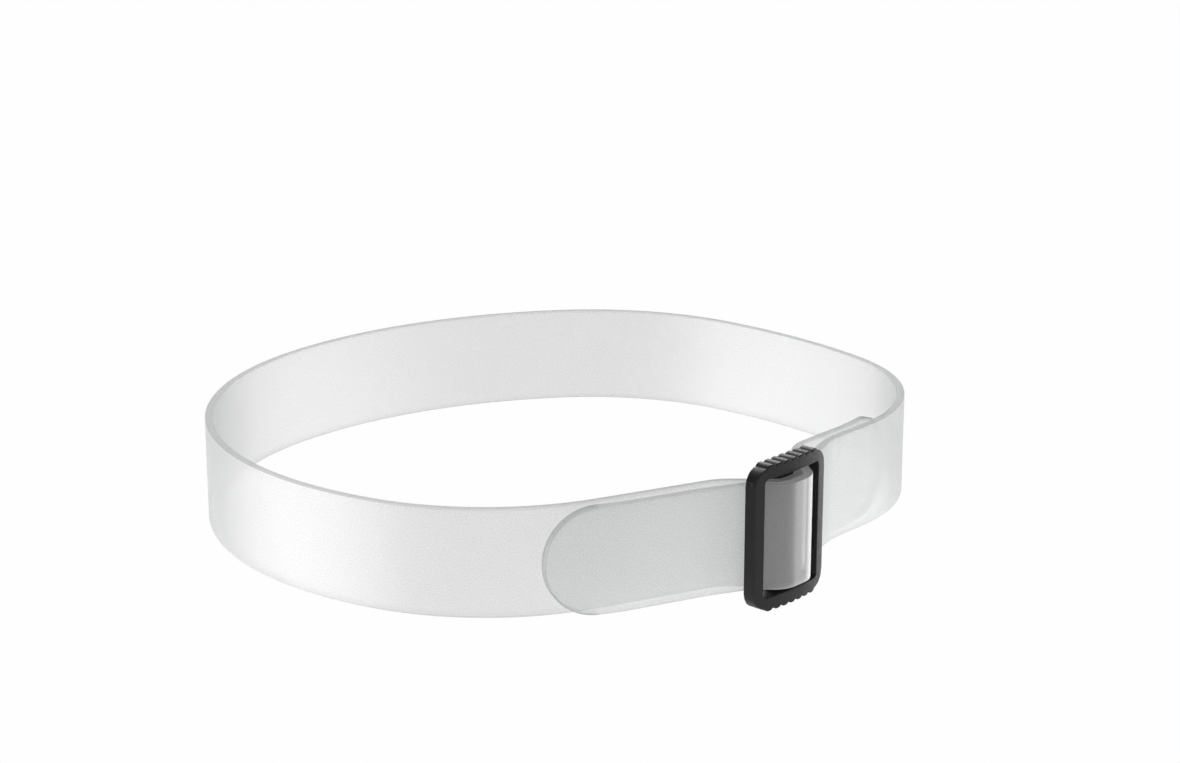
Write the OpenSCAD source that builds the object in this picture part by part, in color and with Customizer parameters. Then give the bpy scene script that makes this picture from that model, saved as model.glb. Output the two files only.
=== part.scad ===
// Adjustable wrist strap: one translucent strip, both ends threaded through a three-bar slider.
// Units are millimetres, +Z is up, and the origin is under the middle of the whole strap.

/* [Strap] */
// Width of the strip, which is its height as the loop stands
strap_w = 12; // [9:0.5:13]
// Thickness of the strip
strap_t = 0.95; // [0.6:0.05:1]
// Gap between the two layers where the slider squeezes them together
layer_gap = 0.1; // [0.05:0.05:0.2]
// Length of the outer free end's last straight run, up to where its round tip starts
outer_tip_run = 1; // [0.5:0.5:3]
// Length of the inner free end's last straight run, up to where its round tip starts
inner_tip_run = 0.5; // [0.5:0.5:2]

/* [Loop] */
// Radius of the loop's front curve
front_r = 25.7; // [22:0.1:30]
// Radius of the loop's left side
left_r = 39.6; // [36:0.1:43]
// Radius of the loop's back
back_r = 49.3; // [44:0.1:54]
// Radius of the bend at the right, just past the inner free end
right_r = 24.4; // [22:0.1:27]
// Length of the straight two-layer run to the left of the slider
front_run = 13.2; // [11:0.1:16]

/* [Slider] */
// Length of the slider along the strap
slider_l = 12.2; // [12:0.1:13]
// Height of the slider
slider_h = 15.9; // [15.5:0.1:17]
// Thickness of the slider at its ends
slider_end_t = 1.4; // [1.3:0.1:1.8]
// Radius of the slider's bowed front
slider_front_r = 29; // [25:1:60]
// Radius of the slider's outer corners
slider_corner_r = 1.9; // [1:0.1:2.5]
// Width of each side bar
side_bar_w = 1.4; // [1.2:0.1:1.6]
// Width of the centre bar, which the strap passes over
centre_bar_w = 3.8; // [3.4:0.1:4]
// Height of the top and bottom rails
rail_h = 1.25; // [1:0.05:1.5]
// Direction that the slider faces, as the turn of its length from +X
slider_turn = 48.7; // [40:0.1:55]

/* [Grip ridges] */
// Number of ridges on the top edge, and on the bottom edge
ridge_count = 7; // [3:2:7]
// Distance from one ridge to the next
ridge_pitch = 1.26; // [1.1:0.01:1.3]
// Radius of each ridge
ridge_r = 0.8; // [0.7:0.05:0.9]

/* [Hidden] */
$fn = 96;

matte_black = [0.14, 0.14, 0.15];
frosted = [0.86, 0.89, 0.88, 0.6];
frosted_end = [0.78, 0.83, 0.81, 0.6];

// In the slider's own frame, x runs along its length, y inwards from its front corners, and z up.
bar_front = 0.5;
bar_back = 1.75;
bar_edge_r = 1.1;
bar_flat = centre_bar_w / 2 - bar_edge_r;
side_edge_r = 0.5;
opening_l = slider_l - 2 * side_bar_w;
opening_h = slider_h - 2 * rail_h;
opening_corner_r = 0.5;
ridge_root = 0.45;
overlap = 1;

// Steps in degrees along a bend of the strap, wide or tight
wide_bend_r = 8;
wide_bend_step = 2.5;
tight_bend_step = 8;

// Each layer bends over the centre bar's edge, then back under the side bar's edge.
pass_clear = 0.1;
inner_over_r = bar_edge_r + pass_clear + strap_t / 2;
outer_over_r = inner_over_r + strap_t + layer_gap;
outer_under_r = side_edge_r + pass_clear + strap_t / 2;
inner_under_r = outer_under_r + strap_t + layer_gap;
edge_dx = opening_l / 2 + side_edge_r - bar_flat;
edge_dy = slider_end_t - side_edge_r - (bar_front + bar_edge_r);
bends_r = outer_over_r + outer_under_r;
edge_span = norm([edge_dx, edge_dy]);
pass_slope = asin(bends_r / edge_span) + atan2(edge_dy, edge_dx);
pass_straight = sqrt(edge_span * edge_span - bends_r * bends_r);

// A stretch of strap is [length, turn in degrees], and an anticlockwise turn is positive.
function bend(r, turn) = [r * abs(turn) * PI / 180, turn];
function over(r, turn) = [[bar_flat, 0], bend(r, turn), [pass_straight, 0]];

// Each exit is the angle at which a layer leaves the slider, and each rest the angle at which it then lies,
// both from the slider's length.
// To the left of the slider, the outer free end eases against the loop, and its tip flares off it.
pass_tail = 2.2;
left_rest = 21.6;
outer_exit = 27;
outer_exit_run = 3.5;
outer_ease_r = 30;
outer_rest_run = 7.5;
outer_flare_r = 22;
outer_flare = 8;

// There, the inner layer is pressed back against the outer one, and then makes the loop.
inner_exit = 49.2;
inner_exit_run = 2.4;
inner_press_r = 5.5;
front_turn = 53.5;
left_turn = 98.5;
back_turn = 47;

// To the right, the inner free end bends back along the loop's inner face, and its tip flares off it.
free_exit = 34.2;
free_exit_run = 4.8;
free_press_r = 6;
free_rest = 1.2;
free_rest_run = 7;
free_flare_r = 26;
free_flare = 8;

// The outer layer bends over that free end, and then makes the loop's right side.
loop_exit = 19.5;
loop_exit_run = 7;
loop_ease_r = 13.4;
loop_rest = 0.5;
loop_rest_run = 4.6;
right_turn = 73;

// Each arm starts over the middle of the centre bar, and leaves it to the left or the right.
outer_left_arm = concat(over(outer_over_r, -pass_slope), [
    bend(outer_under_r, pass_slope - outer_exit),
    [outer_exit_run, 0],
    bend(outer_ease_r, outer_exit - left_rest),
    [outer_rest_run, 0],
    bend(outer_flare_r, -outer_flare),
    [outer_tip_run, 0]
]);
inner_left_arm = concat(over(inner_over_r, -pass_slope), [
    bend(inner_under_r, pass_slope - inner_exit),
    [inner_exit_run, 0],
    bend(inner_press_r, inner_exit - left_rest),
    [front_run, 0],
    bend(front_r, -front_turn),
    bend(left_r, -left_turn),
    bend(back_r, -back_turn)
]);
inner_right_arm = concat(over(inner_over_r, pass_slope), [
    bend(inner_under_r, free_exit - pass_slope),
    [free_exit_run, 0],
    bend(free_press_r, free_rest - free_exit),
    [free_rest_run, 0],
    bend(free_flare_r, free_flare),
    [inner_tip_run, 0]
]);
outer_right_start = concat(over(outer_over_r, pass_slope), [
    bend(outer_under_r, loop_exit - pass_slope),
    [loop_exit_run, 0],
    bend(loop_ease_r, loop_rest - loop_exit),
    [loop_rest_run, 0],
    bend(right_r, right_turn)
]);

// A pose is [x, y, heading].
function advance(p, s) =
    s[1] == 0
    ? [p.x + s[0] * cos(p.z), p.y + s[0] * sin(p.z), p.z]
    : let (r = s[0] * 180 / (PI * s[1]))
      [p.x + r * (sin(p.z + s[1]) - sin(p.z)), p.y - r * (cos(p.z + s[1]) - cos(p.z)), p.z + s[1]];
function follow(p, arm, n) = n == 0 ? p : advance(follow(p, arm, n - 1), arm[n - 1]);
function length_to(arm, n) = n == 0 ? 0 : length_to(arm, n - 1) + arm[n - 1][0];
function total(arm) = length_to(arm, len(arm));
function cut(arm, from, to) = [
    for (i = [0 : len(arm) - 1])
        let (
            start = length_to(arm, i),
            low = max(from, start),
            high = min(to, start + arm[i][0])
        )
        if (high - low > 0.001) [high - low, arm[i][1] * (high - low) / arm[i][0]]
];

function backwards(list) = [for (i = [len(list) - 1 : -1 : 0]) list[i]];
// An arm walked back from its far end
function retraced(arm) = [for (s = backwards(arm)) [s[0], -s[1]]];
function turned(p) = [p.x, p.y, p.z + 180];

// Poses along an arm, close enough together that its bends stay smooth
function steps(s) =
    s[1] == 0
    ? 1
    : ceil(abs(s[1]) / (s[0] * 180 / (PI * abs(s[1])) > wide_bend_r ? wide_bend_step : tight_bend_step));
function samples(p, arm) = concat(
    [
        for (i = [0 : len(arm) - 1])
            let (
                q = follow(p, arm, i),
                n = steps(arm[i])
            )
            for (k = [0 : n - 1]) advance(q, arm[i] * k / n)
    ],
    [follow(p, arm, len(arm))]
);
function beside(path, distance) = [
    for (p = path) [p.x - distance * sin(p.z), p.y + distance * cos(p.z)]
];

// Two arcs that carry a pose smoothly into another one: they close the loop.
function wrap(a) = a - 360 * round(a / 360);
function arc_to(from, heading, to) =
    let (
        reach = to - from,
        turn = 2 * wrap(atan2(reach.y, reach.x) - heading)
    )
    bend(norm(reach) / (2 * sin(abs(turn) / 2)), turn);
function closing_arcs(p, q) =
    let (
        tp = [cos(p.z), sin(p.z)],
        tq = [cos(q.z), sin(q.z)],
        v = [q.x - p.x, q.y - p.y],
        k = 2 * (1 - tp * tq),
        b = v * (tp + tq),
        d = (sqrt(b * b + k * (v * v)) - b) / k,
        mid = ([p.x + q.x, p.y + q.y] + d * (tp - tq)) / 2,
        first = arc_to([p.x, p.y], p.z, mid)
    )
    [first, arc_to(mid, p.z + first[1], [q.x, q.y])];

// Before the move to the origin, the slider's front corners lie on a line through [0, 0].
function over_bar(r) = r - bar_edge_r - bar_front;
function start_pose(r, heading) = [
    sin(slider_turn) * over_bar(r), -cos(slider_turn) * over_bar(r), heading
];
outer_left_pose = start_pose(outer_over_r, slider_turn + 180);
inner_left_pose = start_pose(inner_over_r, slider_turn + 180);
inner_right_pose = start_pose(inner_over_r, slider_turn);
outer_right_pose = start_pose(outer_over_r, slider_turn);

loop_join = follow(inner_left_pose, inner_left_arm, len(inner_left_arm));
outer_right_arm = concat(
    outer_right_start,
    closing_arcs(
        follow(outer_right_pose, outer_right_start, len(outer_right_start)),
        [loop_join.x, loop_join.y, loop_join.z + 180]
    )
);

// The outermost faces of the left, right and back arcs, and the outer free end's tip, place the origin.
function arc_centre(p, arm, i) =
    let (
        q = follow(p, arm, i),
        r = arm[i][0] * 180 / (PI * arm[i][1])
    )
    [q.x - r * sin(q.z), q.y + r * cos(q.z)];
function arc_outer_r(arm, i) = arm[i][0] * 180 / (PI * abs(arm[i][1])) + strap_t / 2;
left_arc = 8;
right_arc = 7;
back_arc = 9;
left_x = arc_centre(inner_left_pose, inner_left_arm, left_arc).x - arc_outer_r(inner_left_arm, left_arc);
outer_tip = advance(follow(outer_left_pose, outer_left_arm, len(outer_left_arm)), [strap_w / 2, 0]);
front_y = outer_tip.y + strap_t / 2 * cos(outer_tip.z);
right_x = arc_centre(outer_right_pose, outer_right_arm, right_arc).x
    + arc_outer_r(outer_right_arm, right_arc);
back_y = arc_centre(outer_right_pose, outer_right_arm, back_arc).y
    + arc_outer_r(outer_right_arm, back_arc);
middle = [(left_x + right_x) / 2, (front_y + back_y) / 2];
ridge_top = slider_h / 2 + ridge_r - ridge_root;
lift = ridge_top - strap_w / 2;

// Where each arm is cut into sections, as lengths from the centre bar.
section_gap = 0.05;
flex_tip = 3;
outer_left_pass = length_to(outer_left_arm, 4) + pass_tail;
inner_left_pass = length_to(inner_left_arm, 4) + pass_tail;
inner_right_pass = length_to(inner_right_arm, 4) + pass_tail;
outer_right_pass = length_to(outer_right_arm, 4) + pass_tail;
outer_flex = total(outer_left_arm) - flex_tip;
inner_flex = total(inner_right_arm) - flex_tip;
inner_run_end = outer_flex;
outer_run_end = inner_flex;
left_middle = length_to(inner_left_arm, left_arc) + inner_left_arm[left_arc][0] / 2;

module to_origin() {
    translate([-middle.x, -middle.y, lift])
        children();
}

module ribbon(start, arm) {
    path = samples(start, arm);
    linear_extrude(strap_w)
        polygon(concat(beside(path, strap_t / 2), backwards(beside(path, -strap_t / 2))));
}

module section(start, arm, from, to) {
    lead = cut(arm, 0, from);
    ribbon(follow(start, lead, len(lead)), cut(arm, from, to));
}

// One layer through the slider, from its left end to its right end
module pass_through(left_start, left_arm, left_end, right_arm, right_end) {
    left_part = cut(left_arm, 0, left_end);
    ribbon(
        turned(follow(left_start, left_part, len(left_part))),
        concat(retraced(left_part), cut(right_arm, 0, right_end))
    );
}

// The last of a free end: its far end is a half circle, seen from the side
module round_tip(start, arm, from) {
    p = follow(start, arm, len(arm));
    difference() {
        section(start, concat(arm, [[strap_w / 2, 0]]), from, total(arm) + strap_w / 2);
        translate([p.x, p.y, strap_w / 2])
            rotate(p.z)
                rotate([90, 0, 0])
                    translate([0, 0, -strap_t])
                        linear_extrude(2 * strap_t)
                            difference() {
                                translate([0, -strap_w])
                                    square([strap_w, 2 * strap_w]);
                                circle(d = strap_w);
                            }
    }
}

module rounded_panel(l, h, corner_r, depth) {
    rotate([90, 0, 0])
        translate([0, 0, -depth])
            linear_extrude(depth)
                union() {
                    square([l - 2 * corner_r, h], center = true);
                    square([l, h - 2 * corner_r], center = true);
                    for (x = [-1, 1])
                        for (y = [-1, 1])
                            translate([x * (l / 2 - corner_r), y * (h / 2 - corner_r)])
                                circle(corner_r);
                }
}

module bowed_front() {
    half_l = slider_l / 2;
    axis_y = sqrt(slider_front_r * slider_front_r - half_l * half_l);
    translate([0, axis_y, -slider_h])
        cylinder(r = slider_front_r, h = 2 * slider_h);
}

module side_bar_rounding() {
    for (x = [-1, 1])
        scale([x, 1, 1])
            translate([opening_l / 2, slider_end_t - side_edge_r, -opening_h / 2])
                linear_extrude(opening_h)
                    difference() {
                        translate([-overlap, 0])
                            square([overlap + side_edge_r, side_edge_r + overlap]);
                        translate([side_edge_r, 0])
                            circle(side_edge_r);
                    }
}

module centre_bar() {
    height = opening_h + rail_h;
    translate([0, 0, -height / 2])
        linear_extrude(height)
            union() {
                translate([-centre_bar_w / 2, bar_front + bar_edge_r])
                    square([centre_bar_w, bar_back - bar_front - bar_edge_r]);
                translate([-bar_flat, bar_front])
                    square([2 * bar_flat, bar_back - bar_front]);
                for (x = [-1, 1])
                    translate([x * bar_flat, bar_front + bar_edge_r])
                        circle(bar_edge_r);
            }
}

module ridges() {
    ridge_z = slider_h / 2 - ridge_root;
    for (i = [0 : ridge_count - 1])
        for (edge = [-1, 1])
            translate([(i - (ridge_count - 1) / 2) * ridge_pitch, -overlap, edge * ridge_z])
                rotate([-90, 0, 0])
                    cylinder(r = ridge_r, h = overlap + slider_end_t, $fn = 32);
}

// The moulded three-bar slider
module slider() {
    color(matte_black)
        to_origin()
            rotate(slider_turn)
                translate([0, 0, strap_w / 2]) {
                    intersection() {
                        difference() {
                            union() {
                                translate([0, -overlap, 0])
                                    rounded_panel(
                                        slider_l, slider_h, slider_corner_r, overlap + slider_end_t
                                    );
                                ridges();
                            }
                            translate([0, -2 * overlap, 0])
                                rounded_panel(opening_l, opening_h, opening_corner_r, 6 * overlap);
                            side_bar_rounding();
                        }
                        bowed_front();
                    }
                    centre_bar();
                }
}

// The outer layer where it runs through the slider
module outer_pass() {
    color(frosted)
        to_origin()
            pass_through(
                outer_left_pose, outer_left_arm, outer_left_pass,
                outer_right_arm, outer_right_pass
            );
}

// The inner layer where it runs through the slider
module inner_pass() {
    color(frosted)
        to_origin()
            pass_through(
                inner_left_pose, inner_left_arm, inner_left_pass,
                inner_right_arm, inner_right_pass
            );
}

// The outer free end, from the slider to where it flexes
module outer_end_root() {
    color(frosted_end)
        to_origin()
            section(
                outer_left_pose, outer_left_arm,
                outer_left_pass + section_gap, outer_flex - section_gap
            );
}

// The outer free end's round tip
module outer_end() {
    color(frosted_end)
        to_origin()
            round_tip(outer_left_pose, outer_left_arm, outer_flex);
}

// The inner free end, from the slider to where it flexes
module inner_end_root() {
    color(frosted_end)
        to_origin()
            section(
                inner_right_pose, inner_right_arm,
                inner_right_pass + section_gap, inner_flex - section_gap
            );
}

// The inner free end's round tip
module inner_end() {
    color(frosted_end)
        to_origin()
            round_tip(inner_right_pose, inner_right_arm, inner_flex);
}

// The inner layer to the left of the slider, under the outer free end
module inner_run() {
    color(frosted)
        to_origin()
            section(inner_left_pose, inner_left_arm, inner_left_pass + section_gap, inner_run_end);
}

// The loop's front
module front_run_strap() {
    color(frosted)
        to_origin()
            section(inner_left_pose, inner_left_arm, inner_run_end, length_to(inner_left_arm, left_arc));
}

// The front half of the loop's left side
module left_front_strap() {
    color(frosted)
        to_origin()
            section(inner_left_pose, inner_left_arm, length_to(inner_left_arm, left_arc), left_middle);
}

// The back half of the loop's left side
module left_back_strap() {
    color(frosted)
        to_origin()
            section(inner_left_pose, inner_left_arm, left_middle, length_to(inner_left_arm, left_arc + 1));
}

// The left half of the loop's back
module back_left_strap() {
    color(frosted)
        to_origin()
            section(
                inner_left_pose, inner_left_arm,
                length_to(inner_left_arm, left_arc + 1), total(inner_left_arm)
            );
}

// The right half of the loop's back
module back_right_strap() {
    color(frosted)
        to_origin()
            section(
                outer_right_pose, outer_right_arm,
                length_to(outer_right_arm, right_arc + 1), total(outer_right_arm)
            );
}

// The loop's right side
module right_side_strap() {
    color(frosted)
        to_origin()
            section(
                outer_right_pose, outer_right_arm,
                outer_run_end, length_to(outer_right_arm, right_arc + 1)
            );
}

// The outer layer to the right of the slider, over the inner free end
module outer_run() {
    color(frosted)
        to_origin()
            section(outer_right_pose, outer_right_arm, outer_right_pass + section_gap, outer_run_end);
}

slider();
outer_pass();
inner_pass();
outer_end_root();
outer_end();
inner_end_root();
inner_end();
inner_run();
front_run_strap();
left_front_strap();
left_back_strap();
back_left_strap();
back_right_strap();
right_side_strap();
outer_run();
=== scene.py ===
"""An adjustable wrist strap: a translucent frosted strip, with both ends threaded through a black slider.

The dimensions and the strap's route are in millimetres. The meshes, the lights and the camera are in metres.
"""

import math

import bmesh
import bpy
from mathutils import Matrix, Vector


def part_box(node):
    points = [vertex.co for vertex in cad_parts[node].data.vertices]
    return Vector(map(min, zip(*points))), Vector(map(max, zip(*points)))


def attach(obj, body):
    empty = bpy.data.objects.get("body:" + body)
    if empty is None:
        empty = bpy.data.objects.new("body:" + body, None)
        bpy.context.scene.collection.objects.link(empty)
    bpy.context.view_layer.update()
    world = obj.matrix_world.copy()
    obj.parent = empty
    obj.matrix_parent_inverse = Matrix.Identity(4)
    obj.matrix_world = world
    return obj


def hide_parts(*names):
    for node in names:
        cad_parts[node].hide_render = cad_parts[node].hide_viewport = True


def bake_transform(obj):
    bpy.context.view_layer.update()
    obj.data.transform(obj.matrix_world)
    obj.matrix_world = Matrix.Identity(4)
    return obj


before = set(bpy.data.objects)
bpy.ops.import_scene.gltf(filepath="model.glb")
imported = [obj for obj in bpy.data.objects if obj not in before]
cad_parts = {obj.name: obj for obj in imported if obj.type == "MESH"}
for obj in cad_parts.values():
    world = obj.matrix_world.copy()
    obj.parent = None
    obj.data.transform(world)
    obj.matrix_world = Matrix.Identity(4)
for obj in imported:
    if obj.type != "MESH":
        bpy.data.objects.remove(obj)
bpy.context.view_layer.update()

MM = 0.001

# ---------------------------------------------------------------- dimensions, as in the CAD source
STRAP_W = 12.0
STRAP_T = 0.95
LAYER_GAP = 0.1
OUTER_TIP_RUN = 1.0
INNER_TIP_RUN = 0.5
TIP_R = STRAP_W / 2
STRAP_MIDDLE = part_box("left_back_strap")[0].z / MM + STRAP_W / 2
FRONT_R = 25.7
LEFT_R = 39.6
BACK_R = 49.3
RIGHT_R = 24.4
FRONT_RUN = 13.2
SLIDER_TURN = 48.7
SLIDER_END_T = 1.4
OPENING_L = 9.4
BAR_FRONT = 0.5
BAR_EDGE_R = 1.1
BAR_FLAT = 0.8
SIDE_EDGE_R = 0.5
PASS_CLEAR = 0.1

# How far the strip through the slider runs on past its last bend, and how far before a tip's round end its
# joint is
PASS_TAIL = 2.2
FLEX_TIP = 3.0

# The middle of the slider's front. It is 0.013 mm to the right of where the CAD source's centring puts it.
SLIDER_FRONT = Vector((25.178, -29.7125))

# Radii of the two layers' bends, over the centre bar's edge and back under the side bar's edge
INNER_OVER_R = BAR_EDGE_R + PASS_CLEAR + STRAP_T / 2
OUTER_OVER_R = INNER_OVER_R + STRAP_T + LAYER_GAP
OUTER_UNDER_R = SIDE_EDGE_R + PASS_CLEAR + STRAP_T / 2
INNER_UNDER_R = OUTER_UNDER_R + STRAP_T + LAYER_GAP
EDGE_DX = OPENING_L / 2 + SIDE_EDGE_R - BAR_FLAT
EDGE_DY = SLIDER_END_T - SIDE_EDGE_R - (BAR_FRONT + BAR_EDGE_R)
EDGE_SPAN = math.hypot(EDGE_DX, EDGE_DY)
BENDS_R = OUTER_OVER_R + OUTER_UNDER_R
PASS_SLOPE = math.degrees(math.asin(BENDS_R / EDGE_SPAN) + math.atan2(EDGE_DY, EDGE_DX))
PASS_STRAIGHT = math.sqrt(EDGE_DX**2 + EDGE_DY**2 - BENDS_R**2)

# Each exit is the angle at which a layer leaves the slider, and each rest the angle at which it then lies,
# both from the slider's length.
# To the left of the slider, the outer free end eases against the loop, and its tip flares off it.
LEFT_REST = 21.6
OUTER_EXIT = 27.0
OUTER_EXIT_RUN = 3.5
OUTER_EASE_R = 30.0
OUTER_REST_RUN = 7.5
OUTER_FLARE_R = 22.0
OUTER_FLARE = 8.0

# There, the inner layer is pressed back against the outer one, and then makes the loop.
INNER_EXIT = 49.2
INNER_EXIT_RUN = 2.4
INNER_PRESS_R = 5.5
FRONT_TURN = 53.5
LEFT_TURN = 98.5
BACK_TURN = 47.0

# To the right, the inner free end bends back along the loop's inner face, and its tip flares off it.
FREE_EXIT = 34.2
FREE_EXIT_RUN = 4.8
FREE_PRESS_R = 6.0
FREE_REST = 1.2
FREE_REST_RUN = 7.0
FREE_FLARE_R = 26.0
FREE_FLARE = 8.0

# The outer layer bends over that free end, and then makes the loop's right side.
LOOP_EXIT = 19.5
LOOP_EXIT_RUN = 7.0
LOOP_EASE_R = 13.4
LOOP_REST = 0.5
LOOP_REST_RUN = 4.6
RIGHT_TURN = 73.0

# The smallest turn in degrees that counts as a bend, and the shortest stretch that is kept
LEAST_TURN = 1e-9
LEAST_LENGTH = 1e-3


# ---------------------------------------------------------------- the strap's route
# A stretch is (length, turn in degrees), anticlockwise positive. A pose is (x, y, heading in degrees).
def bend(r, turn):
    return (r * abs(math.radians(turn)), turn)


def over(r, turn):
    """The stretches over the centre bar, from its middle to the start of the bend under the side bar."""
    return [(BAR_FLAT, 0), bend(r, turn), (PASS_STRAIGHT, 0)]


def advance(pose, length, turn):
    """The pose at the end of a stretch that starts at a pose."""
    x, y, heading = pose
    a = math.radians(heading)
    if abs(turn) < LEAST_TURN:
        return (x + length * math.cos(a), y + length * math.sin(a), heading)
    b = math.radians(heading + turn)
    r = length / math.radians(turn)
    return (x + r * (math.sin(b) - math.sin(a)), y - r * (math.cos(b) - math.cos(a)), heading + turn)


def pose_at(start, arm, s):
    """The pose at length s along an arm."""
    pose = start
    for length, turn in arm:
        if s <= length:
            return advance(pose, s, turn * s / length)
        pose = advance(pose, length, turn)
        s -= length
    return advance(pose, s, 0)


def total(arm):
    return sum(length for length, turn in arm)


def cut(arm, low, high):
    """The stretches of an arm between two lengths."""
    out, at = [], 0
    for length, turn in arm:
        a, b = max(low, at), min(high, at + length)
        if b - a > LEAST_LENGTH:
            out.append((b - a, turn * (b - a) / length))
        at += length
    return out


def retraced(arm):
    """An arm's stretches, followed back from its far end."""
    return [(length, -turn) for length, turn in reversed(arm)]


def arc_to(pose, to):
    """The one arc that leaves a pose and ends at a point."""
    dx, dy = to[0] - pose[0], to[1] - pose[1]
    turn = 2 * math.degrees(math.remainder(math.atan2(dy, dx) - math.radians(pose[2]), 2 * math.pi))
    return bend(math.hypot(dx, dy) / (2 * math.sin(math.radians(abs(turn)) / 2)), turn)


def direction(pose):
    a = math.radians(pose[2])
    return Vector((math.cos(a), math.sin(a)))


def closing_arcs(p, q):
    """Two arcs that carry pose p smoothly into pose q. Their ends' tangents have the same length, reach."""
    p_way, q_way = direction(p), direction(q)
    a, b = Vector(p[:2]), Vector(q[:2])
    span = b - a
    k = 2 * (1 - p_way.dot(q_way))
    c = span.dot(p_way + q_way)
    reach = (math.sqrt(c * c + k * span.dot(span)) - c) / k
    mid = (a + b + reach * (p_way - q_way)) / 2
    first = arc_to(p, mid)
    return [first, arc_to((mid.x, mid.y, p[2] + first[1]), q)]


def crown(r, heading):
    """The pose over the middle of the centre bar of the layer that bends at radius r."""
    a = math.radians(SLIDER_TURN)
    off = r - BAR_EDGE_R - BAR_FRONT
    return (SLIDER_FRONT.x + math.sin(a) * off, SLIDER_FRONT.y - math.cos(a) * off, heading)


# Each arm starts over the middle of the centre bar, and leaves it to the left or the right.
outer_left = over(OUTER_OVER_R, -PASS_SLOPE) + [
    bend(OUTER_UNDER_R, PASS_SLOPE - OUTER_EXIT),
    (OUTER_EXIT_RUN, 0),
    bend(OUTER_EASE_R, OUTER_EXIT - LEFT_REST),
    (OUTER_REST_RUN, 0),
    bend(OUTER_FLARE_R, -OUTER_FLARE),
    (OUTER_TIP_RUN, 0),
]
inner_left = over(INNER_OVER_R, -PASS_SLOPE) + [
    bend(INNER_UNDER_R, PASS_SLOPE - INNER_EXIT),
    (INNER_EXIT_RUN, 0),
    bend(INNER_PRESS_R, INNER_EXIT - LEFT_REST),
    (FRONT_RUN, 0),
    bend(FRONT_R, -FRONT_TURN),
    bend(LEFT_R, -LEFT_TURN),
    bend(BACK_R, -BACK_TURN),
]
inner_right = over(INNER_OVER_R, PASS_SLOPE) + [
    bend(INNER_UNDER_R, FREE_EXIT - PASS_SLOPE),
    (FREE_EXIT_RUN, 0),
    bend(FREE_PRESS_R, FREE_REST - FREE_EXIT),
    (FREE_REST_RUN, 0),
    bend(FREE_FLARE_R, FREE_FLARE),
    (INNER_TIP_RUN, 0),
]
outer_right = over(OUTER_OVER_R, PASS_SLOPE) + [
    bend(OUTER_UNDER_R, LOOP_EXIT - PASS_SLOPE),
    (LOOP_EXIT_RUN, 0),
    bend(LOOP_EASE_R, LOOP_REST - LOOP_EXIT),
    (LOOP_REST_RUN, 0),
    bend(RIGHT_R, RIGHT_TURN),
]

outer_left_start = crown(OUTER_OVER_R, SLIDER_TURN + 180)
inner_left_start = crown(INNER_OVER_R, SLIDER_TURN + 180)
inner_right_start = crown(INNER_OVER_R, SLIDER_TURN)
outer_right_start = crown(OUTER_OVER_R, SLIDER_TURN)

# The outer right arm closes the loop: it ends where the inner left arm does, and heads the other way.
join_x, join_y, join_heading = pose_at(inner_left_start, inner_left, total(inner_left))
right_end = pose_at(outer_right_start, outer_right, total(outer_right))
outer_right += closing_arcs(right_end, (join_x, join_y, join_heading + 180))

# ---------------------------------------------------------------- the strip's mesh
# The strip's cut edges are rounded at EDGE_R, and a row of faces SUPPORT wide keeps its faces flat.
EDGE_R = 0.15
EDGE_STEPS = 4
SUPPORT = 0.06
FACE_STEPS = 6
LENGTH_STEP = 0.5
TURN_STEP = 1.5
TIP_ROWS = 30
TIP_STEP = 90 / TIP_ROWS
WELD = 1e-3 * MM
SLIVER = 1e-5 * MM

# The places of a strip's three looks among its materials; the third has painted shade on the tips' cut edges
FACE_LOOK, EDGE_LOOK, SHADED_TIP_EDGE_LOOK = range(3)


def rim():
    """The cut edge, from the outer face round to the inner one, as (distance in from the outline, offset)."""
    half = STRAP_T / 2
    points = [(EDGE_R + SUPPORT, half)]
    for side in (1, -1):
        arc = []
        for i in range(EDGE_STEPS + 1):
            a = math.radians(90) * i / EDGE_STEPS
            arc.append((EDGE_R * (1 - math.sin(a)), side * (half - EDGE_R + EDGE_R * math.cos(a))))
        points += arc if side == 1 else arc[::-1]
    return points + [(EDGE_R + SUPPORT, -half)]


def stations(arm):
    """Lengths along an arm, close enough together for its bends to be smooth."""
    out, at = [], 0
    for length, turn in arm:
        n = max(math.ceil(length / LENGTH_STEP), math.ceil(abs(turn) / TURN_STEP))
        out += [at + length * i / n for i in range(n)]
        at += length
    return out + [at]


def ring(along, tip_angle):
    """One closed ring round the strip, as (length, height, offset).

    Past the tip's start, the tip angle carries it round the end.
    """
    a = math.radians(tip_angle)
    edge = rim()

    def at(inset, level, offset):
        reach = TIP_R - inset
        return (along + (reach * math.sin(a) if tip_angle else 0), level * reach * math.cos(a), offset)

    top = [at(d, 1, n) for d, n in edge]
    bottom = [at(d, -1, n) for d, n in edge[::-1]]
    inset = edge[0][0]
    levels = [1 - 2 * i / FACE_STEPS for i in range(1, FACE_STEPS)]
    inner = [at(inset, f, edge[-1][1]) for f in levels]
    outer = [at(inset, -f, edge[0][1]) for f in levels]
    return top + inner + bottom + outer


def is_rim(i):
    """True for the faces of the two cut edges, by their place round a ring."""
    steps = len(rim()) - 1
    return i < steps or steps + FACE_STEPS <= i < 2 * steps + FACE_STEPS


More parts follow.
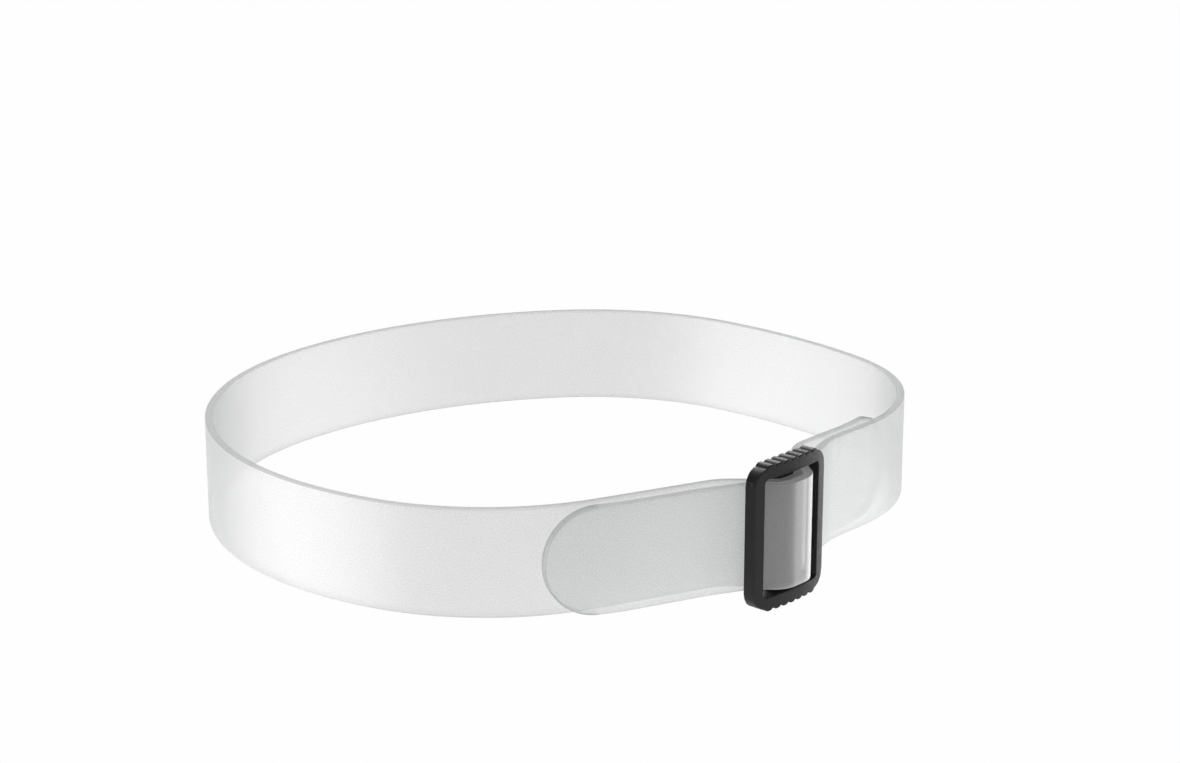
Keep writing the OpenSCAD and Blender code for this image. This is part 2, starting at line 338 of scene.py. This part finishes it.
def strip(name, start, arm, tip=False, origin=0.0):
    """A stretch of strip that follows an arm, open at its ends, or closed by a round tip.

    Its UV is the length from the slider's centre bar, which is origin at its start, and the height.
    """
    rings = [ring(s, 0) for s in stations(arm)]
    if tip:
        rings += [ring(total(arm), TIP_STEP * i) for i in range(1, TIP_ROWS + 1)]
    bm = bmesh.new()
    uv = bm.loops.layers.uv.new("strip")
    flat = {}
    rows = []
    for points in rings:
        row = []
        for along, height, offset in points:
            x, y, heading = pose_at(start, arm, along)
            a = math.radians(heading)
            place = (x - offset * math.sin(a), y + offset * math.cos(a), STRAP_MIDDLE + height)
            v = bm.verts.new(Vector(place) * MM)
            flat[v] = (origin + along, height)
            row.append(v)
        rows.append(row)
    tip_start = len(rows) - TIP_ROWS if tip else len(rows)
    for k in range(1, len(rows)):
        near, far = rows[k - 1], rows[k]
        # The tips' cut edges take the look with painted shade.
        rim_look = SHADED_TIP_EDGE_LOOK if k >= tip_start else EDGE_LOOK
        for i in range(len(near)):
            j = (i + 1) % len(near)
            face = bm.faces.new((near[i], near[j], far[j], far[i]))
            face.smooth = True
            face.material_index = rim_look if is_rim(i) else FACE_LOOK
            for loop in face.loops:
                loop[uv].uv = flat[loop.vert]
    if tip:
        bmesh.ops.remove_doubles(bm, verts=rows[-1], dist=WELD)
        bmesh.ops.dissolve_degenerate(bm, edges=bm.edges, dist=SLIVER)
    bmesh.ops.recalc_face_normals(bm, faces=bm.faces)
    mesh = bpy.data.meshes.new(name)
    bm.to_mesh(mesh)
    bm.free()
    piece = bpy.data.objects.new(name, mesh)
    bpy.context.scene.collection.objects.link(piece)
    return piece


# ---------------------------------------------------------------- materials
# How much of what is behind it the strip covers: its faces, its cut edges and its tips' cut edges, when they
# are seen square on, then what a slant and the painted shade over the centre bar add, and how far the grain
# varies it
FACE_COVER = 0.365
# The tips' cut edges cover more, so that their painted shade shows.
EDGE_COVER = 0.55
SHADED_TIP_EDGE_COVER = 0.65
SLANT_COVER = 0.55
BAR_SHADE_COVER = 0.3
GRAIN_COVER = 0.10

# Over the centre bar the strip is painted darker and covers more: painted shade, where the black bar behind
# it keeps light from coming through. That is full out to the first of these lengths from the bar's middle,
# and gone at the second.
BAR_SHADE_REACH = (4.0, 5.5)
# Painted shade: the darker grey that the strip is tinted towards over the centre bar
BAR_SHADE_TINT = (0.71, 0.715, 0.71)

# The part of the strip's own light that comes through from its other side
THROUGH = 0.68

# A noise lies mostly in this range, and a grain is this deep.
NOISE_LOW = 0.3
NOISE_HIGH = 0.7
GRAIN_DEPTH = 0.04 * MM


def material(name):
    mat = bpy.data.materials.new(name)
    mat.use_nodes = True
    tree = mat.node_tree
    tree.nodes.clear()
    return mat, tree


def node(tree, kind, values=None, **settings):
    """A new node with its settings. Each input is set to a value, or linked to another node's output."""
    made = tree.nodes.new(kind)
    for key, value in settings.items():
        setattr(made, key, value)
    for key, value in (values or {}).items():
        if isinstance(value, bpy.types.NodeSocket):
            tree.links.new(value, made.inputs[key])
        else:
            made.inputs[key].default_value = value
    return made


def ramp(tree, value, start, end, low, high):
    """A value that goes from low to high as another goes from start to end."""
    return node(
        tree, "ShaderNodeMapRange",
        {"Value": value, "From Min": start, "From Max": end, "To Min": low, "To Max": high},
    ).outputs["Result"]


def spread(tree, value, low, high):
    """A noise's value, carried to the range from low to high."""
    return ramp(tree, value, NOISE_LOW, NOISE_HIGH, low, high)


def noise(tree, place, scale, detail, roughness=0.5):
    inputs = {"Vector": place, "Scale": scale, "Detail": detail, "Roughness": roughness}
    return node(tree, "ShaderNodeTexNoise", inputs).outputs["Fac"]


def mixed(tree, share, first, second):
    """A colour between two others, each of them an output or three numbers."""
    inputs = {"Fac": share}
    for key, colour in (("Color1", first), ("Color2", second)):
        inputs[key] = (*colour, 1) if isinstance(colour, tuple) else colour
    return node(tree, "ShaderNodeMixRGB", inputs).outputs["Color"]


def arithmetic(tree, operation, *values, clamp=False):
    inputs = dict(enumerate(values))
    return node(tree, "ShaderNodeMath", inputs, operation=operation, use_clamp=clamp).outputs["Value"]


def grained(tree, grain, strength):
    """The normal of a surface with a fine grain."""
    inputs = {"Height": grain, "Strength": strength, "Distance": GRAIN_DEPTH}
    return node(tree, "ShaderNodeBump", inputs).outputs["Normal"]


def output(tree, shader):
    node(tree, "ShaderNodeOutputMaterial", {"Surface": shader})


def strip_colour(tree, uv, tint, bar_shade):
    """A tint that varies a little along the strip, and is painted darker over the centre bar as painted
    shade.
    """
    cloud = noise(tree, uv, scale=0.12, detail=2.0)
    darker = tuple(c * 0.97 for c in tint)
    paler = tuple(min(c * 1.03, 1) for c in tint)
    # Over the centre bar the tint is mixed towards a darker grey, a painted shade.
    return mixed(tree, bar_shade, mixed(tree, cloud, darker, paler), BAR_SHADE_TINT)


def frosted_body(tree, colour, grain):
    """The frosted plastic itself: a rough surface, and light that comes through from the other side."""
    bump = grained(tree, grain, 0.25)
    front = node(
        tree, "ShaderNodeBsdfPrincipled",
        {
            "Base Color": colour,
            "Roughness": spread(tree, grain, 0.38, 0.62),
            "Specular IOR Level": 1.0,
            "Normal": bump,
        },
    ).outputs["BSDF"]
    behind = node(tree, "ShaderNodeBsdfTranslucent", {"Color": colour, "Normal": bump}).outputs["BSDF"]
    return node(tree, "ShaderNodeMixShader", {0: THROUGH, 1: front, 2: behind}).outputs["Shader"]


def strip_cover(tree, grain, bar_shade, square_on):
    """The part of what is behind it that the strip covers, from its grain, its slant and the painted shade
    over the centre bar.
    """
    slant = node(tree, "ShaderNodeLayerWeight", {"Blend": 0.5}).outputs["Facing"]
    by_slant = ramp(tree, slant, 0.5, 0.9, 0.0, SLANT_COVER)
    by_grain = spread(tree, grain, square_on - GRAIN_COVER, square_on + GRAIN_COVER)
    # The centre bar's painted shade also covers more of what is behind.
    by_bar_shade = arithmetic(tree, "MULTIPLY", bar_shade, BAR_SHADE_COVER)
    return arithmetic(tree, "ADD", arithmetic(tree, "ADD", by_grain, by_slant), by_bar_shade, clamp=True)


def frosted_strip(name, tint, square_on):
    """Frosted translucent plastic. Each face of the strip covers a part of what is behind it."""
    mat, tree = material(name)
    uv = node(tree, "ShaderNodeUVMap", uv_map="strip").outputs["UV"]
    grain = noise(tree, uv, scale=7.0, detail=2.0, roughness=0.7)
    along = node(tree, "ShaderNodeSeparateXYZ", {"Vector": uv}).outputs["X"]
    from_bar = arithmetic(tree, "ABSOLUTE", along)
    # Painted shade: a mask that is full over the centre bar, where the black bar behind keeps light from
    # coming through
    bar_shade = ramp(tree, from_bar, *BAR_SHADE_REACH, 1.0, 0.0)
    body = frosted_body(tree, strip_colour(tree, uv, tint, bar_shade), grain)
    clear = node(tree, "ShaderNodeBsdfTransparent").outputs["BSDF"]
    cover = strip_cover(tree, grain, bar_shade, square_on)
    output(tree, node(tree, "ShaderNodeMixShader", {0: cover, 1: clear, 2: body}).outputs["Shader"])
    return mat


def moulded_black(name):
    """Matte black moulded plastic: a fine spark-eroded grain, and a painted highlight that makes its convex
    edges a little paler.
    """
    mat, tree = material(name)
    place = node(tree, "ShaderNodeTexCoord").outputs["Object"]
    grain = noise(tree, place, scale=5000.0, detail=3.0)
    cloud = noise(tree, place, scale=400.0, detail=2.0)
    edge = node(tree, "ShaderNodeNewGeometry").outputs["Pointiness"]
    # Painted highlight: convex edges, found by their pointiness, are painted paler.
    painted_edge_highlight = ramp(tree, edge, 0.52, 0.60, 0.0, 0.6)
    plain = mixed(tree, cloud, (0.010, 0.010, 0.0105), (0.015, 0.015, 0.016))
    shader = node(
        tree, "ShaderNodeBsdfPrincipled",
        {
            "Base Color": mixed(tree, painted_edge_highlight, plain, (0.06, 0.06, 0.062)),
            "Roughness": spread(tree, grain, 0.42, 0.62),
            "Specular IOR Level": 0.33,
            "Normal": grained(tree, grain, 0.3),
        },
    ).outputs["BSDF"]
    output(tree, shader)
    return mat


frosted = frosted_strip("frosted_strip", (0.885, 0.90, 0.892), FACE_COVER)
frosted_edge = frosted_strip("frosted_edge", (0.86, 0.87, 0.865), EDGE_COVER)
# The tips' cut edges are painted a darker tint: painted shade along the round ends.
frosted_tip_edge_shade = frosted_strip("frosted_tip_edge_shade", (0.68, 0.69, 0.685), SHADED_TIP_EDGE_COVER)
black = moulded_black("moulded_black")


def lit_group(name):
    """The collection of the pieces that a softbox is aimed at."""
    return bpy.data.collections.get(name) or bpy.data.collections.new(name)


# ---------------------------------------------------------------- the strap's pieces
# An arm's stretches through the slider, the last of which is the bend under the side bar
PASS_STRETCHES = 4

# A free end's tip piece starts FLEX_HALF before its joint.
FLEX_HALF = 1.2
OUTER_FLEX = total(outer_left) - FLEX_TIP
INNER_FLEX = total(inner_right) - FLEX_TIP
OUTER_SEAM = OUTER_FLEX - FLEX_HALF
INNER_SEAM = INNER_FLEX - FLEX_HALF

# The loop's band starts this far from the centre bar. SEAM_SLACK is how far inside the runs' seams two points
# are taken.
BAND_SEAM = 22.5
SEAM_SLACK = 0.4


def pass_end(arm):
    """The length along an arm at which the strip through the slider ends, a tail past its last bend."""
    return total(arm[:PASS_STRETCHES]) + PASS_TAIL


OUTER_LEFT_END = pass_end(outer_left)
INNER_LEFT_END = pass_end(inner_left)
INNER_RIGHT_END = pass_end(inner_right)
OUTER_RIGHT_END = pass_end(outer_right)


def part_of(name, start, arm, low, high, tip=False):
    """The strip between two lengths along an arm."""
    return strip(name, pose_at(start, arm, low), cut(arm, low, high), tip, low)


def through(name, left_start, left_arm, left_end, right_arm, right_end):
    """One layer through the slider, from its left end to its right end."""
    x, y, heading = pose_at(left_start, left_arm, left_end)
    arm = retraced(cut(left_arm, 0, left_end)) + cut(right_arm, 0, right_end)
    return strip(name, (x, y, heading + 180), arm, origin=-left_end)


def point(start, arm, s):
    """The middle of the strip at a length along an arm, in metres."""
    x, y, heading = pose_at(start, arm, s)
    return (x * MM, y * MM, STRAP_MIDDLE * MM)


def finish_piece(piece, *nodes):
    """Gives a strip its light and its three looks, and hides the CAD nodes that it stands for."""
    lit_group("pass" if "pass" in piece.name else "strap").objects.link(piece)
    for look in (frosted, frosted_edge, frosted_tip_edge_shade):
        piece.data.materials.append(look)
    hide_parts(*nodes)


outer_pass = through(
    "outer_pass_strip", outer_left_start, outer_left, OUTER_LEFT_END, outer_right, OUTER_RIGHT_END
)
inner_pass = through(
    "inner_pass_strip", inner_left_start, inner_left, INNER_LEFT_END, inner_right, INNER_RIGHT_END
)
finish_piece(outer_pass, "outer_pass")
finish_piece(inner_pass, "inner_pass")
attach(outer_pass, "slider")
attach(inner_pass, "slider")

outer_left_run = part_of("outer_left_run", outer_left_start, outer_left, OUTER_LEFT_END, OUTER_SEAM)
inner_left_run = part_of("inner_left_run", inner_left_start, inner_left, INNER_LEFT_END, BAND_SEAM)
inner_right_run = part_of("inner_right_run", inner_right_start, inner_right, INNER_RIGHT_END, INNER_SEAM)
outer_right_run = part_of("outer_right_run", outer_right_start, outer_right, OUTER_RIGHT_END, BAND_SEAM)
finish_piece(outer_left_run, "outer_end_root")
finish_piece(inner_left_run, "inner_run")
finish_piece(inner_right_run, "inner_end_root")
finish_piece(outer_right_run, "outer_run")

left_still = point(outer_left_start, outer_left, OUTER_SEAM - SEAM_SLACK)
left_moved = point(outer_left_start, outer_left, OUTER_LEFT_END + SEAM_SLACK)
right_still = point(inner_right_start, inner_right, INNER_SEAM - SEAM_SLACK)
right_moved = point(inner_right_start, inner_right, INNER_RIGHT_END + SEAM_SLACK)
for piece in (outer_left_run, inner_left_run):
    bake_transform(piece)
for piece in (inner_right_run, outer_right_run):
    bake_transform(piece)

outer_tip = part_of("outer_end_tip", outer_left_start, outer_left, OUTER_SEAM, total(outer_left), tip=True)
inner_tip = part_of("inner_end_tip", inner_right_start, inner_right, INNER_SEAM, total(inner_right), tip=True)
finish_piece(outer_tip, "outer_end")
finish_piece(inner_tip, "inner_end")
point(outer_left_start, outer_left, OUTER_FLEX - FLEX_HALF)
point(outer_left_start, outer_left, OUTER_FLEX + FLEX_HALF)
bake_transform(outer_tip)
point(inner_right_start, inner_right, INNER_FLEX - FLEX_HALF)
point(inner_right_start, inner_right, INNER_FLEX + FLEX_HALF)
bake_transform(inner_tip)

band = strip(
    "loop_band",
    pose_at(inner_left_start, inner_left, BAND_SEAM),
    cut(inner_left, BAND_SEAM, total(inner_left)) + retraced(cut(outer_right, BAND_SEAM, total(outer_right))),
    origin=BAND_SEAM,
)
finish_piece(
    band,
    "front_run_strap", "left_front_strap", "left_back_strap",
    "back_left_strap", "back_right_strap", "right_side_strap",
)
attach(band, "strap")


# ---------------------------------------------------------------- the slider
VOXEL = 0.078
SOFTEN_STEPS = 2
SOFTEN_SHARE = 0.5
SLIDER_WELD = 1e-4


def moulded_slider():
    """The CAD slider with the soft edges of a moulding. It is remeshed in millimetres."""
    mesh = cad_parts["slider"].data.copy()
    mesh.materials.clear()
    mesh.transform(Matrix.Scale(1 / MM, 4))
    bm = bmesh.new()
    bm.from_mesh(mesh)
    bmesh.ops.remove_doubles(bm, verts=bm.verts, dist=SLIDER_WELD)
    bm.to_mesh(mesh)
    bm.free()
    rough = bpy.data.objects.new("slider_rough", mesh)
    bpy.context.scene.collection.objects.link(rough)
    remesh = rough.modifiers.new("remesh", "REMESH")
    remesh.mode = "VOXEL"
    remesh.voxel_size = VOXEL
    soften = rough.modifiers.new("soften", "SMOOTH")
    soften.factor = SOFTEN_SHARE
    soften.iterations = SOFTEN_STEPS
    depsgraph = bpy.context.evaluated_depsgraph_get()
    moulded = bpy.data.meshes.new_from_object(rough.evaluated_get(depsgraph))
    moulded.name = "moulded_slider"
    moulded.transform(Matrix.Scale(MM, 4))
    bpy.data.objects.remove(rough)
    for face in moulded.polygons:
        face.use_smooth = True
    piece = bpy.data.objects.new("moulded_slider", moulded)
    bpy.context.scene.collection.objects.link(piece)
    lit_group("slider").objects.link(piece)
    piece.data.materials.append(black)
    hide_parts("slider")
    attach(piece, "slider")


moulded_slider()


# ---------------------------------------------------------------- studio
WHITE = (1, 1, 1, 1)
FLOOR_R = 4.0
FLOOR_SIDES = 96
FLOOR_DROP = 0.0001
FLOOR_GLOW = 0.99

# The world's strength below and above the horizon, and how far up or down it takes to change
BELOW = 1.0
ABOVE = 0.27
HORIZON = 0.2

# Each softbox: its name, the pieces that it lights, its azimuth and elevation in degrees, then its distance
# from the target and its width in metres, and its power in watts
TARGET = Vector((0, 0, 0.008))
LIGHTS = (
    ("left_softbox", "strap", 188, -10, 0.9, 0.92, 53.0),
    ("right_softbox", "strap", 3, -10, 0.9, 0.9, 32.0),
    ("bar_softbox", "pass", 30, -12, 0.9, 0.75, 32.0),
    ("right_back_softbox", "slider", 50, -12, 0.9, 0.5, 3.0),
    ("top_back_softbox", "slider", 100, 30, 0.9, 0.7, 9.0),
)

CAMERA_PLACE = (0.003638, -0.29689, 0.101996)
CAMERA_TILT = 73.90
LENS = 79.86
SENSOR_W = 36.0
NEAREST = 0.01


def emitter(name, strength):
    mat, tree = material(name)
    glow = node(tree, "ShaderNodeEmission", {"Color": WHITE, "Strength": strength}).outputs["Emission"]
    output(tree, glow)
    return mat


def white_floor():
    """A glowing white floor that only the camera sees."""
    mesh = bpy.data.meshes.new("floor")
    bm = bmesh.new()
    bmesh.ops.create_circle(bm, cap_ends=True, radius=FLOOR_R, segments=FLOOR_SIDES)
    bm.to_mesh(mesh)
    bm.free()
    floor = bpy.data.objects.new("floor", mesh)
    bpy.context.scene.collection.objects.link(floor)
    floor.location.z = -FLOOR_DROP
    floor.data.materials.append(emitter("white_floor", FLOOR_GLOW))
    floor.visible_diffuse = False
    floor.visible_glossy = False
    floor.visible_shadow = False
    floor.visible_transmission = False


def sky():
    """An even white world, stronger below the horizon, as a white table would light the strap."""
    world = bpy.data.worlds.new("studio")
    bpy.context.scene.world = world
    world.use_nodes = True
    tree = world.node_tree
    background = tree.nodes["Background"]
    background.inputs["Color"].default_value = WHITE
    way = node(tree, "ShaderNodeTexCoord").outputs["Generated"]
    up = node(tree, "ShaderNodeSeparateXYZ", {"Vector": way}).outputs["Z"]
    glow = ramp(tree, up, -HORIZON, HORIZON, BELOW, ABOVE)
    tree.links.new(glow, background.inputs["Strength"])


def softbox(name, lit, azimuth, elevation, distance, width, power):
    """A disk of light aimed at the target, seen only as a gloss, and only on the pieces of one group."""
    lamp = bpy.data.lights.new(name, "AREA")
    lamp.shape = "DISK"
    lamp.size = width
    lamp.energy = power
    box = bpy.data.objects.new(name, lamp)
    bpy.context.scene.collection.objects.link(box)
    a, e = math.radians(azimuth), math.radians(elevation)
    way = Vector((math.cos(a) * math.cos(e), math.sin(a) * math.cos(e), math.sin(e)))
    box.location = TARGET + distance * way
    box.rotation_euler = (TARGET - box.location).to_track_quat("-Z", "Y").to_euler()
    box.visible_diffuse = False
    box.light_linking.receiver_collection = lit_group(lit)


def camera():
    lens = bpy.data.cameras.new("camera")
    lens.sensor_width = SENSOR_W
    lens.lens = LENS
    lens.clip_start = NEAREST
    eye = bpy.data.objects.new("camera", lens)
    bpy.context.scene.collection.objects.link(eye)
    eye.location = CAMERA_PLACE
    eye.rotation_euler = (math.radians(CAMERA_TILT), 0, 0)
    bpy.context.scene.camera = eye


white_floor()
sky()
for light in LIGHTS:
    softbox(*light)
camera()
bpy.context.scene.view_settings.view_transform = "Standard"
